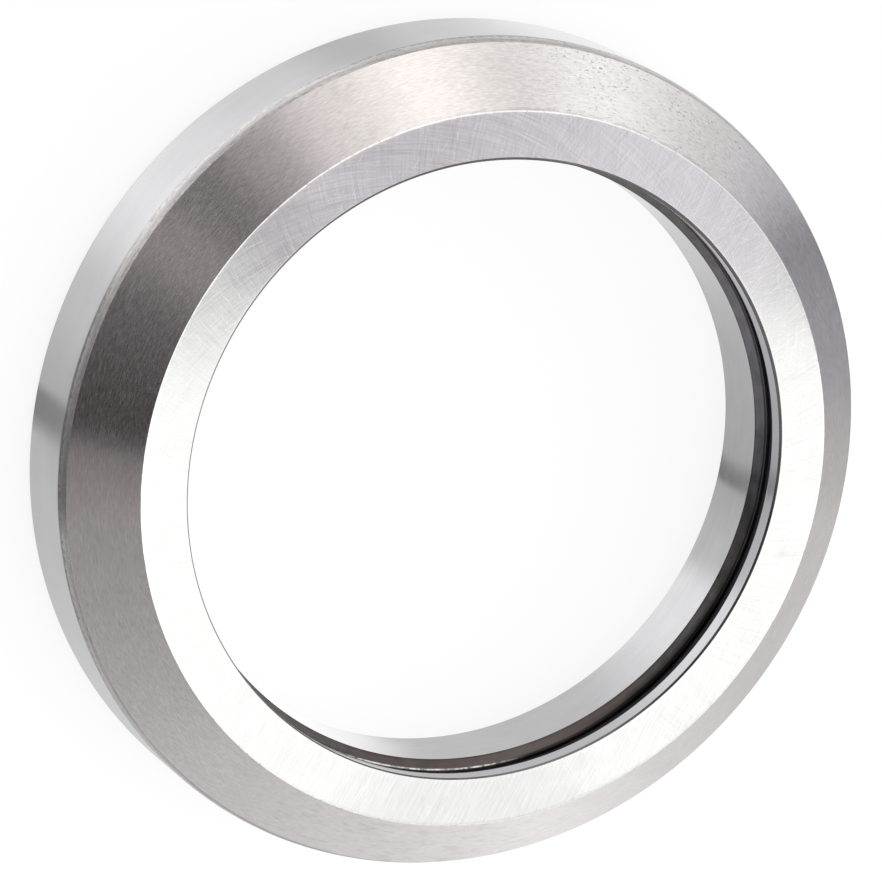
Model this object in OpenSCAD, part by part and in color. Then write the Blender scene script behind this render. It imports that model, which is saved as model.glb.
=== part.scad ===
// Sealed angular contact ring bearing for a steering column.
// It lies on its back face, with the axis along +Z and the origin at the centre of that face.
// Sections are drawn as [radius, height] and turned round the axis. All sizes are in millimetres.

/* [Envelope] */
// Bore of the inner ring
bore_d = 30.5; // [25:0.1:33]
// Outside diameter of the outer ring
outside_d = 41.8; // [40.5:0.1:56]
// Height from the back face to the front face
height = 8; // [7.6:0.1:12]

/* [Conical seats] */
// Angle of the outer seat, from the axis
outer_seat_angle = 45; // [42:1:50]
// Width of the outer seat, along the radius
outer_seat_w = 2.78; // [2:0.01:3.3]
// Angle of the inner seat, from the axis
inner_seat_angle = 45; // [40:1:50]
// Width of the inner seat, along the radius
inner_seat_w = 2.1; // [1.2:0.05:2.4]
// Depth of the band left as turned, below the outside diameter
turned_drop = 0.2; // [0.1:0.05:0.5]
// Height of the band left as turned
turned_h = 0.55; // [0.3:0.01:1]
// Radius of the corner between the outside diameter and the back face
corner_r = 0.6; // [0.3:0.05:0.9]

/* [Front lip] */
// Thickness of the lip that covers the front
lip_t = 0.94; // [0.7:0.02:1.2]
// How much wider than the bore the lip is, along the radius
lip_step = 0.26; // [0.1:0.01:0.4]
// Width of the broken edge round the lip
lip_edge_w = 0.1; // [0.05:0.01:0.3]
// Depth of the broken edge round the lip
lip_edge_h = 0.1; // [0.05:0.01:0.2]
// Depth of the inner ring's front rim below the front face
rim_depth = 1.9; // [1.7:0.05:2.3]
// Width of the chamfer on the inner ring's front rim
rim_w = 0.4; // [0.2:0.05:0.6]
// Height of the chamfer on the inner ring's front rim
rim_h = 0.5; // [0.2:0.05:0.8]

/* [Balls and raceways] */
// Ball diameter, one eighth of an inch
ball_d = 3.175; // [2.6:0.025:3.85]
// Number of balls
ball_count = 28; // [12:1:30]
// Angle of the line of contact, above the plane of the balls
contact_angle = 45; // [40:1:50]
// Radius of a raceway, as a share of the ball diameter
conformity = 0.52; // [0.515:0.005:0.54]
// Running clearance between a ball and each raceway
ball_play = 0.05; // [0.03:0.005:0.06]
// How far a raceway's high shoulder runs past the ball's pole, in degrees
shoulder_past = 10; // [4:1:16]
// How far a raceway's low side runs past the ball's equator, in degrees
snap_past = 15; // [8:1:24]

/* [Ball cage] */
// Thickness of the conical web with the pockets
cage_web_t = 0.8; // [0.5:0.05:1.1]
// Clearance between a ball and its pocket
pocket_gap = 0.07; // [0.04:0.01:0.15]
// Clearance between the cage and each ring
cage_side_gap = 0.2; // [0.1:0.02:0.3]
// Clearance between the cage and each seal
cage_end_gap = 0.3; // [0.2:0.05:0.5]

/* [Seals] */
// Height of a seal's rim, which fills its groove
seal_rim_h = 0.6; // [0.5:0.02:0.7]
// Width of a seal's rim, outside its groove
seal_rim_w = 0.5; // [0.3:0.05:0.55]
// Thickness of the web between a seal's rim and its lip
seal_web_t = 0.26; // [0.16:0.02:0.36]
// Depth of the front seal's groove
front_groove_d = 0.12; // [0.06:0.02:0.2]
// Depth of the back seal's groove
back_groove_d = 0.28; // [0.1:0.02:0.4]
// Height of the back seal's groove above the back face
back_groove_z = 0.45; // [0.35:0.05:0.5]
// Width of a seal's lip at its tip
seal_tip_w = 0.16; // [0.1:0.02:0.24]
// Running clearance between a seal's lip and the inner ring
seal_run_gap = 0.05; // [0.03:0.01:0.1]
// Clearance behind a seal's rim in its groove
seal_back_gap = 0.03; // [0.02:0.01:0.05]

/* [Edges] */
// Width of the small broken edges
edge_w = 0.12; // [0.05:0.01:0.2]

/* [Hidden] */
$fn = 180;

RING_NODES = ["outer_ring", "inner_ring", "front_seal", "back_seal", "ball_cage"];
function ball_name(i) = str("ball_", i < 10 ? "0" : "", i);

STEEL = [0.78, 0.78, 0.77];
POLISHED_STEEL = [0.86, 0.86, 0.88];
RUBBER = [0.07, 0.07, 0.08];
NYLON = [0.16, 0.16, 0.17];

bore_r = bore_d / 2;
outside_r = outside_d / 2;
ball_r = ball_d / 2;

// Outer ring from the front: the seat runs from the flat face down to the turned band
band_r = outside_r - turned_drop;
seat_small_r = band_r - outer_seat_w;
seat_low_z = height - outer_seat_w / tan(outer_seat_angle);
land_top_z = seat_low_z - turned_h;
lip_r = bore_r + lip_step;
lip_z = height - lip_t;

// Inner ring: its seat opens from the bore towards the back face
inner_seat_r = bore_r + inner_seat_w;
inner_seat_z = inner_seat_w / tan(inner_seat_angle);
rim_z = height - rim_depth;

// The balls run midway between the bore and the outside, and midway between the two seats
pitch_r = (bore_r + outside_r) / 2;
outer_seat_z = height - (pitch_r - seat_small_r) / tan(outer_seat_angle);
inner_seat_line_z = (inner_seat_r - pitch_r) / tan(inner_seat_angle);
pitch_z = (outer_seat_z + inner_seat_line_z) / 2;
function ball_angle(i) = (i - 1) * 360 / ball_count;

// Each raceway's centre is moved along the line of contact, away from its own side
race_r = conformity * ball_d;
race_shift = race_r - ball_r - ball_play;
race_dr = race_shift * cos(contact_angle);
race_dz = race_shift * sin(contact_angle);
outer_race = [pitch_r - race_dr, pitch_z - race_dz];
inner_race = [pitch_r + race_dr, pitch_z + race_dz];

// Walls on each side of the raceways: a high shoulder takes the load, a low one lets the balls in
outer_shoulder_r = outer_race[0] - race_r * sin(shoulder_past);
outer_relief_r = outer_race[0] + race_r * cos(snap_past);
inner_shoulder_r = inner_race[0] + race_r * sin(shoulder_past);
inner_relief_r = inner_race[0] - race_r * cos(snap_past);

front_groove_r = outer_shoulder_r + front_groove_d;
front_groove_z = lip_z - seal_rim_h;
back_groove_r = outer_relief_r + back_groove_d;
back_groove_top_z = back_groove_z + seal_rim_h;

// The cage's web is a cone square to the line of contact, between two hoops
cage_front_z = front_groove_z - cage_end_gap;
cage_back_z = back_groove_top_z + cage_end_gap;
hoop_front_in_r = inner_relief_r + cage_side_gap;
hoop_front_out_r = outer_shoulder_r - cage_side_gap;
hoop_back_in_r = inner_shoulder_r + cage_side_gap;
hoop_back_out_r = outer_relief_r - cage_side_gap;
function web_z(r, side) =
    pitch_z + (side * cage_web_t / 2 - (r - pitch_r) * cos(contact_angle)) / sin(contact_angle);

module turned() {
    rotate_extrude() children();
}

module raceway(centre) {
    translate(centre) circle(r = race_r);
}

// A groove of the given depth, cut outwards from a wall
module seal_groove(wall_r, depth, z) {
    translate([wall_r - depth, z]) square([2 * depth, seal_rim_h]);
}

module at_ball(i) {
    rotate([0, 0, ball_angle(i)]) translate([pitch_r, 0, pitch_z]) children();
}

module outer_section() {
    difference() {
        union() {
            polygon([
                [outer_relief_r + edge_w, 0],
                [outside_r - corner_r, 0],
                [outside_r, corner_r],
                [outside_r, land_top_z],
                [band_r, seat_low_z],
                [seat_small_r, height],
                [lip_r + lip_edge_w, height],
                [lip_r, height - lip_edge_h],
                [lip_r, lip_z],
                [outer_shoulder_r, lip_z],
                [outer_shoulder_r, outer_race[1]],
                [outer_relief_r, outer_race[1]],
                [outer_relief_r, edge_w]
            ]);
            translate([outside_r - corner_r, corner_r]) circle(r = corner_r);
        }
        raceway(outer_race);
        seal_groove(outer_shoulder_r, front_groove_d, front_groove_z);
        seal_groove(outer_relief_r, back_groove_d, back_groove_z);
    }
}

module inner_section() {
    difference() {
        polygon([
            [inner_seat_r, 0],
            [inner_shoulder_r - edge_w, 0],
            [inner_shoulder_r, edge_w],
            [inner_shoulder_r, inner_race[1]],
            [inner_relief_r, inner_race[1]],
            [inner_relief_r, rim_z - edge_w],
            [inner_relief_r - edge_w, rim_z],
            [bore_r + rim_w, rim_z],
            [bore_r, rim_z - rim_h],
            [bore_r, inner_seat_z]
        ]);
        raceway(inner_race);
    }
}

module cage_section() {
    polygon([
        [hoop_front_in_r, cage_front_z],
        [hoop_front_in_r, web_z(hoop_front_in_r, -1)],
        [hoop_back_in_r, web_z(hoop_back_in_r, -1)],
        [hoop_back_in_r, cage_back_z],
        [hoop_back_out_r, cage_back_z],
        [hoop_back_out_r, web_z(hoop_back_out_r, 1)],
        [hoop_front_out_r, web_z(hoop_front_out_r, 1)],
        [hoop_front_out_r, cage_front_z]
    ]);
}

// The rim sits under the front lip, and the lip of the seal wipes the inner ring's front rim
module front_seal_section() {
    back_r = front_groove_r - seal_back_gap;
    rim_r = outer_shoulder_r - seal_rim_w;
    web_low_z = front_groove_z + (seal_rim_h - seal_web_t) / 2;
    web_high_z = web_low_z + seal_web_t;
    tip_z = rim_z + seal_run_gap;
    tip_r = bore_r + rim_w + seal_tip_w;
    polygon([
        [back_r, lip_z],
        [rim_r, lip_z],
        [rim_r - edge_w, web_high_z],
        [tip_r + seal_tip_w, web_high_z],
        [tip_r, web_low_z],
        [tip_r, tip_z],
        [tip_r + seal_tip_w, tip_z],
        [tip_r + 2 * seal_tip_w, web_low_z],
        [rim_r - edge_w, web_low_z],
        [rim_r, front_groove_z],
        [back_r, front_groove_z]
    ]);
}

// The rim fills a groove in the outer ring, and the lip of the seal wipes the inner ring's flange
module back_seal_section() {
    back_r = back_groove_r - seal_back_gap;
    rim_r = outer_relief_r - seal_rim_w;
    web_low_z = back_groove_z + (seal_rim_h - seal_web_t) / 2;
    web_high_z = web_low_z + seal_web_t;
    tip_r = inner_shoulder_r + seal_run_gap;
    polygon([
        [back_r, back_groove_top_z],
        [rim_r, back_groove_top_z],
        [rim_r - edge_w, web_high_z],
        [tip_r + 2 * seal_tip_w, web_high_z],
        [tip_r, web_low_z],
        [tip_r, web_low_z - seal_tip_w],
        [tip_r + 2 * seal_tip_w, web_low_z],
        [rim_r - edge_w, web_low_z],
        [rim_r, back_groove_z],
        [back_r, back_groove_z]
    ]);
}

module outer_ring() {
    color(STEEL) turned() outer_section();
}

module inner_ring() {
    color(STEEL) turned() inner_section();
}

module front_seal() {
    color(RUBBER) turned() front_seal_section();
}

module back_seal() {
    color(RUBBER) turned() back_seal_section();
}

module ball_cage() {
    color(NYLON) difference() {
        turned() cage_section();
        for (i = [1:ball_count]) at_ball(i) sphere(r = ball_r + pocket_gap, $fn = 48);
    }
}

module ball(i) {
    color(POLISHED_STEEL) at_ball(i) sphere(d = ball_d, $fn = 48);
}

outer_ring();
inner_ring();
front_seal();
back_seal();
ball_cage();
for (i = [1:ball_count]) {
    ball(i);
}
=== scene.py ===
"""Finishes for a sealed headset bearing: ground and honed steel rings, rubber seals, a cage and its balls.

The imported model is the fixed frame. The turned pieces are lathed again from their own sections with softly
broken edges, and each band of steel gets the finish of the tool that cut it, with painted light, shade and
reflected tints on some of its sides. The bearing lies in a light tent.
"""

import math
from functools import partial, reduce
from typing import NamedTuple

import bmesh
import bpy
from mathutils import Matrix, Vector


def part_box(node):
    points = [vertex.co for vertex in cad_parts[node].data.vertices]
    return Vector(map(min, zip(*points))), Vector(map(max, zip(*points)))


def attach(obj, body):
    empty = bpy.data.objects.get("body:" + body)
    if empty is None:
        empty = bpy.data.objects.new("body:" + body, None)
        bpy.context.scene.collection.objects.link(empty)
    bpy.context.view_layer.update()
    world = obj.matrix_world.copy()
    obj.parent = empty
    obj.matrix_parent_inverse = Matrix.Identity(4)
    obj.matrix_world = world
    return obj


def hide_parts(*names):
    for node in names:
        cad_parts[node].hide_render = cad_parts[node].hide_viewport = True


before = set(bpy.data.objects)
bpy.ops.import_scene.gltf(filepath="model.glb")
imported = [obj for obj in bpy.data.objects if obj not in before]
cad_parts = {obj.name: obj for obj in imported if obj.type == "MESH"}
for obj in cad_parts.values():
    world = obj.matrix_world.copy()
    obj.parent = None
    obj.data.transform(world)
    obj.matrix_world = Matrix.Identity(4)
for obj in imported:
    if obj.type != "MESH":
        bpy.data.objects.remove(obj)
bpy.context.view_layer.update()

bl_info = {
    "name": "Headset bearing finishes",
    "version": (1, 0, 0),
    "blender": (4, 5, 0),
    "location": "View3D > Sidebar > Bearing",
    "description": "Lathes the bearing's rings and seals and gives every piece its finish",
    "category": "Object",
}

MM = 0.001

OUTER_LOW, OUTER_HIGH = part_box("outer_ring")
INNER_LOW, INNER_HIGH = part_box("inner_ring")
OUTER_RADIUS = OUTER_HIGH.x
RING_HEIGHT = OUTER_HIGH.z
RIM_HEIGHT = INNER_HIGH.z
# The heights between which the raceways are lapped
OUTER_RACE = (1.5 * MM, 5.4 * MM)
INNER_RACE = (1.9 * MM, 4.1 * MM)

# How far a band of finish reaches past the edge that it ends at
NEAR = 0.02 * MM
# Ranges of a normal's height, which is 1 where a face looks straight up
FACING_UP = (0.995, 1.1)
FACING_DOWN = (-1.1, -0.995)
NOT_FLAT = (-0.999, 0.999)
UPRIGHT = (-0.1, 0.1)
LAND_SLOPE = (-1, 0.1)
BAND_SLOPE = (0.1, 0.55)
SEAT_SLOPE = (0.55, 0.85)
BACK_SEAT_SLOPE = (-0.85, -0.55)
SEAT_EDGE_SLOPE = (0.72, 0.995)
LIP_EDGE_SLOPE = (0.1, 0.995)
RIM_SLOPE = (0.1, 1.1)

# Two points closer than this are one, and an outline that turns by less than this runs straight on
SAME_POINT = 1e-7
STRAIGHT = math.radians(0.5)
# An outline that turns by more than this has a corner, and less is a step of a round stretch
CORNER = math.radians(20)
# How long the chips in a ground edge are
CHIP_LENGTH = 0.35 * MM
# At this weight a corner's normal follows its largest faces alone
LARGEST_WEIGHT = 100
# What the lathe stores on its mesh while it works
WORK_ATTRIBUTES = ("section_r", "section_z", "turn", "corner_radius", "ragged", "lean")

# Noise lies mostly in this range
NOISE_RANGE = (0.3, 0.7)

# Painted reflection and shade tints for sides of the steel, and colours of its edges and lip. Colours are
# linear
# Painted reflections: the tints of the seat's steel on three sides
PAINTED_STRAW_REFLECTION = (0.825, 0.772, 0.745)
PAINTED_PLUM_REFLECTION = (0.82, 0.74, 0.752)
PAINTED_SLATE_REFLECTION = (0.79, 0.768, 0.815)
# Burnished edges, and the painted glint on the rim
BURNISH_AND_GLINT_STEEL = (0.95, 0.945, 0.94)
LIP_STEEL = (0.757, 0.749, 0.776)
# Painted reflection: the front face's tint on one side
PAINTED_LILAC_REFLECTION = (0.866, 0.828, 0.872)
EDGE_STEEL = (0.22, 0.205, 0.208)
# Painted shade and painted reflection: the rim's tints on two sides
PAINTED_BROWN_SHADE = (0.150, 0.124, 0.117)
PAINTED_BLUE_REFLECTION = (0.290, 0.280, 0.302)

# How bright the tent's wall is, by compass angle in degrees
TENT_WALL = (
    (0, 0.36), (17, 0.40), (36, 0.46), (50, 0.30), (78, 0.30), (98, 0.75), (150, 0.85), (170, 1.20),
    (187, 0.86), (205, 1.32), (225.5, 0.84), (240, 0.34), (254, 0.10), (268, 0.22), (284, 0.055),
    (311, 0.00), (313.5, 0.20), (332, 0.30),
)
# How bright the tent's floor is close to the bearing and further out, as polished steel sees it
NEAR_FLOOR = (
    (0, 0.74), (143, 0.50), (176, 1.00), (202, 1.06), (220, 0.74), (231, 0.58), (242, 0.78), (265, 1.01),
    (281, 0.66), (294, 0.52), (295.5, 0.25), (298, 0.25), (301.5, 0.58), (311, 0.62), (340, 0.72),
)
FAR_FLOOR = (
    (0, 0.82), (20, 0.66), (33, 0.76), (45, 0.88), (57, 1.04), (66, 0.92), (74, 0.78), (90, 0.62),
    (106, 0.58), (114, 0.44), (129, 0.24), (143.5, 0.11), (150.5, 0.62), (176, 0.98), (192, 1.14),
    (204, 1.10), (216, 1.03), (234, 1.08), (246, 1.38), (258, 1.18), (268, 1.48), (281, 0.55),
    (293, 0.30), (303, 0.24), (309, 0.66), (345, 0.82),
)
# How bright the floor inside the bore is
TENT_MIDDLE = (
    (0, 1.25), (14, 1.10), (31, 0.62), (60, 0.62), (86, 0.96), (93, 0.96), (101, 0.60), (114.3, 0.48),
    (115.3, 0.20), (117, 0.22), (120.5, 0.46), (140, 0.50), (165, 0.70), (180, 0.90),
)
# Where the wall becomes the roof by a direction's height, and where the roof's brightness changes by its y
ROOF_EDGE = (0.76, 0.90)
ROOF_CHANGE = (0.22, 0.42)
# How far the floor's tones may swing round, in turns, and how much faster they do inside the bore
GREATEST_SWING = 0.03
BORE_SWING = 1.3
# How much of what steel sees in the floor is the tent's tones
GLOSSY_SHARE = 0.9
PAPER_ROUGHNESS = 0.9
# The floor lies this far under the bearing, so that their faces don't meet
FLOOR_GAP = 0.01 * MM
# The camera's sensor is in millimetres, as its focal length is
SENSOR_WIDTH = 36
CLIP_START = 20 * MM


class StageSettings(bpy.types.PropertyGroup):
    """The camera and the light tent."""

    view_elevation: bpy.props.FloatProperty(
        name="View elevation", description="Height of the camera's line of sight above the floor",
        default=math.radians(62.746), subtype="ANGLE")
    view_roll: bpy.props.FloatProperty(
        name="View roll", description="Turn of the camera about its line of sight, anticlockwise as it looks",
        default=math.radians(124.15), subtype="ANGLE")
    view_distance: bpy.props.FloatProperty(
        name="View distance", description="From the camera to the plane through the front face's centre",
        default=351.98 * MM, subtype="DISTANCE", unit="LENGTH")
    view_right: bpy.props.FloatProperty(
        name="Centre to the right",
        description="How far the front face's centre lies right of the line of sight",
        default=2.322 * MM, subtype="DISTANCE", unit="LENGTH")
    view_down: bpy.props.FloatProperty(
        name="Centre down", description="How far the front face's centre lies below the line of sight",
        default=1.534 * MM, subtype="DISTANCE", unit="LENGTH")
    focal_length: bpy.props.FloatProperty(
        name="Focal length", description="In millimetres, on a sensor 36 mm wide", default=296.67)
    floor_size: bpy.props.FloatProperty(
        name="Floor size", description="Side of the square floor", default=2.0,
        subtype="DISTANCE", unit="LENGTH")
    floor_glow: bpy.props.FloatProperty(
        name="Floor glow", description="Share of the floor's white that doesn't depend on the lamps",
        default=0.8, subtype="FACTOR", min=0, max=1)
    floor_white: bpy.props.FloatProperty(
        name="Floor white", description="Brightness of that share as the camera sees it", default=1.08, min=0)
    near_floor: bpy.props.FloatProperty(
        name="Near floor", description="Radius of the part of the floor that the land mirrors",
        default=24 * MM, subtype="DISTANCE", unit="LENGTH")
    bore_floor: bpy.props.FloatProperty(
        name="Bore floor", description="Radius of the part of the floor that the bore mirrors",
        default=16 * MM, subtype="DISTANCE", unit="LENGTH")
    roof_level: bpy.props.FloatProperty(
        name="Roof level", description="Brightness of the tent's roof on the camera's side",
        default=1.15, min=0)
    far_roof_level: bpy.props.FloatProperty(
        name="Far roof level", description="Brightness of the part of the roof that the front face mirrors",
        default=0.64, min=0)
    lamp_level: bpy.props.FloatProperty(
        name="Lamp level", description="Brightness of the soft lamp's face", default=0.55, min=0)
    lamp_size: bpy.props.FloatProperty(
        name="Lamp size", description="Side of the soft lamp", default=130 * MM,
        subtype="DISTANCE", unit="LENGTH")
    lamp_distance: bpy.props.FloatProperty(
        name="Lamp distance",
        description="From the front face to the soft lamp, along the line of sight mirrored by the face",
        default=50 * MM, subtype="DISTANCE", unit="LENGTH")
    lamp_turn: bpy.props.FloatProperty(
        name="Lamp turn", description="Which way the lamp's edge lies across the face",
        default=math.radians(35.5), subtype="ANGLE")
    lamp_reach: bpy.props.FloatProperty(
        name="Lamp reach", description="How far past the face's centre the lamp's near edge is seen",
        default=8.4 * MM, subtype="DISTANCE", unit="LENGTH")


class RingSettings(bpy.types.PropertyGroup):
    """How finely the turned pieces are lathed and how their edges are broken."""

    segments: bpy.props.IntProperty(
        name="Segments", description="Steps round the axis", default=720, min=24)
    corner_points: bpy.props.IntProperty(
        name="Corner points", description="Points that round one corner of the section", default=4, min=1)
    corner_radius: bpy.props.FloatProperty(
        name="Corner radius", description="Radius of the broken edges", default=0.04 * MM,
        subtype="DISTANCE", unit="LENGTH")
    seat_edge_radius: bpy.props.FloatProperty(
        name="Seat edge radius", description="Radius of the edge between the conical seat and the front face",
        default=0.12 * MM, subtype="DISTANCE", unit="LENGTH")
    land_edge_radius: bpy.props.FloatProperty(
        name="Land edge radius",
        description="Radius of the edge between the land and the band left as turned",
        default=1.1 * MM, subtype="DISTANCE", unit="LENGTH")
    rim_edge_radius: bpy.props.FloatProperty(
        name="Rim edge radius", description="Radius of the inner ring's front edge", default=0.14 * MM,
        subtype="DISTANCE", unit="LENGTH")
    hold: bpy.props.FloatProperty(
        name="Holding distance", description="How far from a corner a long edge's holding points lie",
        default=0.2 * MM, subtype="DISTANCE", unit="LENGTH")
    ragged: bpy.props.FloatProperty(
        name="Ragged edge", description="How far a ground edge wanders", default=0.008 * MM,
        subtype="DISTANCE", unit="LENGTH")
    lip_lean: bpy.props.FloatProperty(
        name="Lip lean", description="How much wider the lip's broken edge is on one side",
        default=0.045 * MM, subtype="DISTANCE", unit="LENGTH")
    lip_wide_side: bpy.props.FloatProperty(
        name="Wide side of the lip", description="Where the lip's broken edge is widest",
        default=math.radians(190), subtype="ANGLE")


def linear_colour(name, description, default):
    """A colour that a user can change, as linear red, green and blue."""
    return bpy.props.FloatVectorProperty(name=name, description=description, default=default, size=3,
                                         min=0, max=1, subtype="COLOR")


class ColourSettings(bpy.types.PropertyGroup):
    """The pieces' base colours."""

    seat_steel: linear_colour("Seat steel", "The ground conical seats", (0.798, 0.770, 0.762))
    face_steel: linear_colour("Face steel", "The ground front face", (0.84, 0.838, 0.828))
    satin_steel: linear_colour("Satin steel", "The land and the inner ring's bore", (0.80, 0.797, 0.812))
    band_steel: linear_colour("Band steel", "The narrow band left as turned", (0.79, 0.757, 0.757))
    dark_steel: linear_colour("Dark steel", "Turned and heat treated steel", (0.21, 0.198, 0.195))
    polished_steel: linear_colour("Polished steel", "The balls and the raceways", (0.86, 0.86, 0.87))
    rubber: linear_colour("Rubber", "The seals", (0.010, 0.010, 0.015))
    nylon: linear_colour("Nylon", "The ball cage", (0.030, 0.028, 0.027))
    floor: linear_colour("Floor", "The paper under the bearing", (0.90, 0.90, 0.90))


def colours():
    """The base colours as the user has set them."""
    return bpy.context.scene.bearing_colours


class Graph:
    """Adds nodes to a tree. An input that is a socket is linked, and any other value is set on the node."""

    SPACING = 190

    def __init__(self, tree):
        self.tree = tree

    def add(self, kind, inputs=None, **settings):
        node = self.tree.nodes.new(kind)
        node.location.x = self.SPACING * len(self.tree.nodes)
        for name, value in settings.items():
            setattr(node, name, value)
        for key, value in (inputs or {}).items():
            if isinstance(value, bpy.types.NodeSocket):
                self.tree.links.new(value, node.inputs[key])
            else:
                node.inputs[key].default_value = value
        return node

    def math(self, operation, a, b=0.0):
        return self.add("ShaderNodeMath", {0: a, 1: b}, operation=operation).outputs[0]

    def plus(self, *values):
        return reduce(partial(self.math, "ADD"), values)

    def minus(self, first, second):
        return self.math("SUBTRACT", first, second)

    def times(self, *values):
        return reduce(partial(self.math, "MULTIPLY"), values)

    def over(self, first, second):
        return self.math("DIVIDE", first, second)

    def larger(self, first, second):
        return self.math("MAXIMUM", first, second)

    def vector(self, operation, a, b=(0, 0, 0), output="Vector"):
        return self.add("ShaderNodeVectorMath", {0: a, 1: b}, operation=operation).outputs[output]

    def length(self, vector):
        return self.vector("LENGTH", vector, output="Value")

    def scale(self, vector, factor):
        inputs = {"Vector": vector, "Scale": factor}
        return self.add("ShaderNodeVectorMath", inputs, operation="SCALE").outputs[0]

    def turned(self, vector, angle):
        """Turns a vector about the axis."""
        inputs = {"Vector": vector, "Angle": angle}
        return self.add("ShaderNodeVectorRotate", inputs, rotation_type="Z_AXIS").outputs[0]

    def combine(self, x, y, z):
        return self.add("ShaderNodeCombineXYZ", {0: x, 1: y, 2: z}).outputs[0]

    def split(self, vector):
        return self.add("ShaderNodeSeparateXYZ", {0: vector}).outputs

    def fit(self, value, low, high, to_low=0.0, to_high=1.0, smooth=False):
        kind = "SMOOTHSTEP" if smooth else "LINEAR"
        inputs = {0: value, 1: low, 2: high, 3: to_low, 4: to_high}
        return self.add("ShaderNodeMapRange", inputs, interpolation_type=kind).outputs[0]

    def between(self, share, none, full):
        """Goes from one value to another as a share goes from 0 to 1."""
        return self.fit(share, 0.0, 1.0, none, full)

    def spread(self, noise, to_low, to_high):
        """Fits the range in which noise mostly lies."""
        return self.fit(noise, *NOISE_RANGE, to_low, to_high)

    def noise(self, vector, detail=2.0):
        inputs = {"Vector": vector, "Scale": 1.0, "Detail": detail}
        return self.add("ShaderNodeTexNoise", inputs).outputs["Fac"]

    def mix(self, share, first, second):
        return self.add("ShaderNodeMix", {0: share, 2: first, 3: second}).outputs[0]

    def blend(self, share, first, second):
        """Mixes two colours, each of them a socket or red, green and blue."""
        inputs = {0: share}
        for key, colour in ((6, first), (7, second)):
            inputs[key] = colour if isinstance(colour, bpy.types.NodeSocket) else (*colour, 1)
        return self.add("ShaderNodeMix", inputs, data_type="RGBA").outputs[2]

    def place(self):
        """Where a point is on the piece, in millimetres."""
        return self.scale(self.add("ShaderNodeTexCoord").outputs["Object"], 1 / MM)


def turned_coordinates():
    """A node group: a point's place round the axis, and the direction across a lathe's or a wheel's marks."""
    name = "Turned coordinates"
    if name in bpy.data.node_groups:
        return bpy.data.node_groups[name]
    tree = bpy.data.node_groups.new(name, "ShaderNodeTree")
    for output, kind in (("Round", "Vector"), ("Radius", "Float"), ("Height", "Float"), ("Across", "Vector")):
        tree.interface.new_socket(name=output, in_out="OUTPUT", socket_type="NodeSocket" + kind)
    g = Graph(tree)
    x, y, z = g.split(g.place())
    flat = g.combine(x, y, 0.0)
    round_axis = g.vector("NORMALIZE", flat)
    along = g.add("ShaderNodeVectorTransform", {0: g.vector("CROSS_PRODUCT", (0, 0, 1), round_axis)},
                  vector_type="VECTOR", convert_from="OBJECT", convert_to="WORLD").outputs[0]
    across = g.vector("CROSS_PRODUCT", g.add("ShaderNodeNewGeometry").outputs["True Normal"], along)
    outputs = {"Round": round_axis, "Radius": g.length(flat), "Height": z, "Across": across}
    g.add("NodeGroupOutput", outputs)
    return tree


class Finish:
    """A material for a turned piece. Lengths and widths of marks are in millimetres."""

    # Marks have their given length at this radius
    MEAN_RADIUS = 18.0

    def __init__(self, name, colour, roughness, metallic=1.0, anisotropic=0.0):
        self.material = bpy.data.materials.new(name)
        self.material.use_nodes = True
        self.material.diffuse_color = (*colour, 1)
        self.g = Graph(self.material.node_tree)
        self.colour = colour
        self.shader = self.material.node_tree.nodes["Principled BSDF"]
        settings = {"Base Color": (*colour, 1), "Roughness": roughness, "Metallic": metallic,
                    "Anisotropic": anisotropic}
        for key, value in settings.items():
            self.shader.inputs[key].default_value = value
        turned = self.g.add("ShaderNodeGroup", node_tree=turned_coordinates()).outputs
        self.round, self.radius, self.height = turned["Round"], turned["Radius"], turned["Height"]
        if anisotropic:
            self.link(turned["Across"], "Tangent")

    def link(self, socket, key):
        self.material.node_tree.links.new(socket, self.shader.inputs[key])

    def marks(self, across, length, width, seed, detail=2.0, turn=None):
        """Noise drawn out round the axis, without a seam. An angle that grows with the radius leans it."""
        g = self.g
        where = self.round if turn is None else g.turned(self.round, turn)
        x, y, _ = g.split(g.scale(where, self.MEAN_RADIUS / length))
        return g.noise(g.combine(x, y, g.plus(g.over(across, width), seed)), detail)

    def side(self, degrees, low, high):
        """How near a point is to one side, from 0 to 1 between two cosines of the angle from that side."""
        way = math.radians(degrees)
        out = (math.cos(way), math.sin(way), 0)
        return self.g.fit(self.g.vector("DOT_PRODUCT", self.round, out, "Value"), low, high)

    def painted_light_and_shade(self, level, degrees, low, high, factor):
        """Multiplies a level by a factor on one side of the piece: painted light where the factor is above 1,
        painted shade where it is below.
        """
        return self.g.times(level, self.g.between(self.side(degrees, low, high), 1.0, factor))

    def painted_reflection_tint(self, colour, degrees, low, high, tint):
        """Paints the tint of a reflection on one side of the piece, and painted shade where the tint is
        darker than the colour.
        """
        return self.g.blend(self.side(degrees, low, high), colour, tint)

    def shade(self, level, colour=None):
        """Multiplies the colour by a level: a pattern, with the painted light and shade that some finishes
        add to it.
        """
        if colour is None:
            colour = self.g.combine(*self.colour)
        self.link(self.g.scale(colour, level), "Base Color")

    def rough(self, level):
        self.link(level, "Roughness")

    def relief(self, height, depth):
        """Bump from a pattern from 0 to 1, depth being its height in metres."""
        inputs = {"Strength": 1.0, "Distance": depth, "Height": height}
        self.link(self.g.add("ShaderNodeBump", inputs).outputs[0], "Normal")


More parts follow.
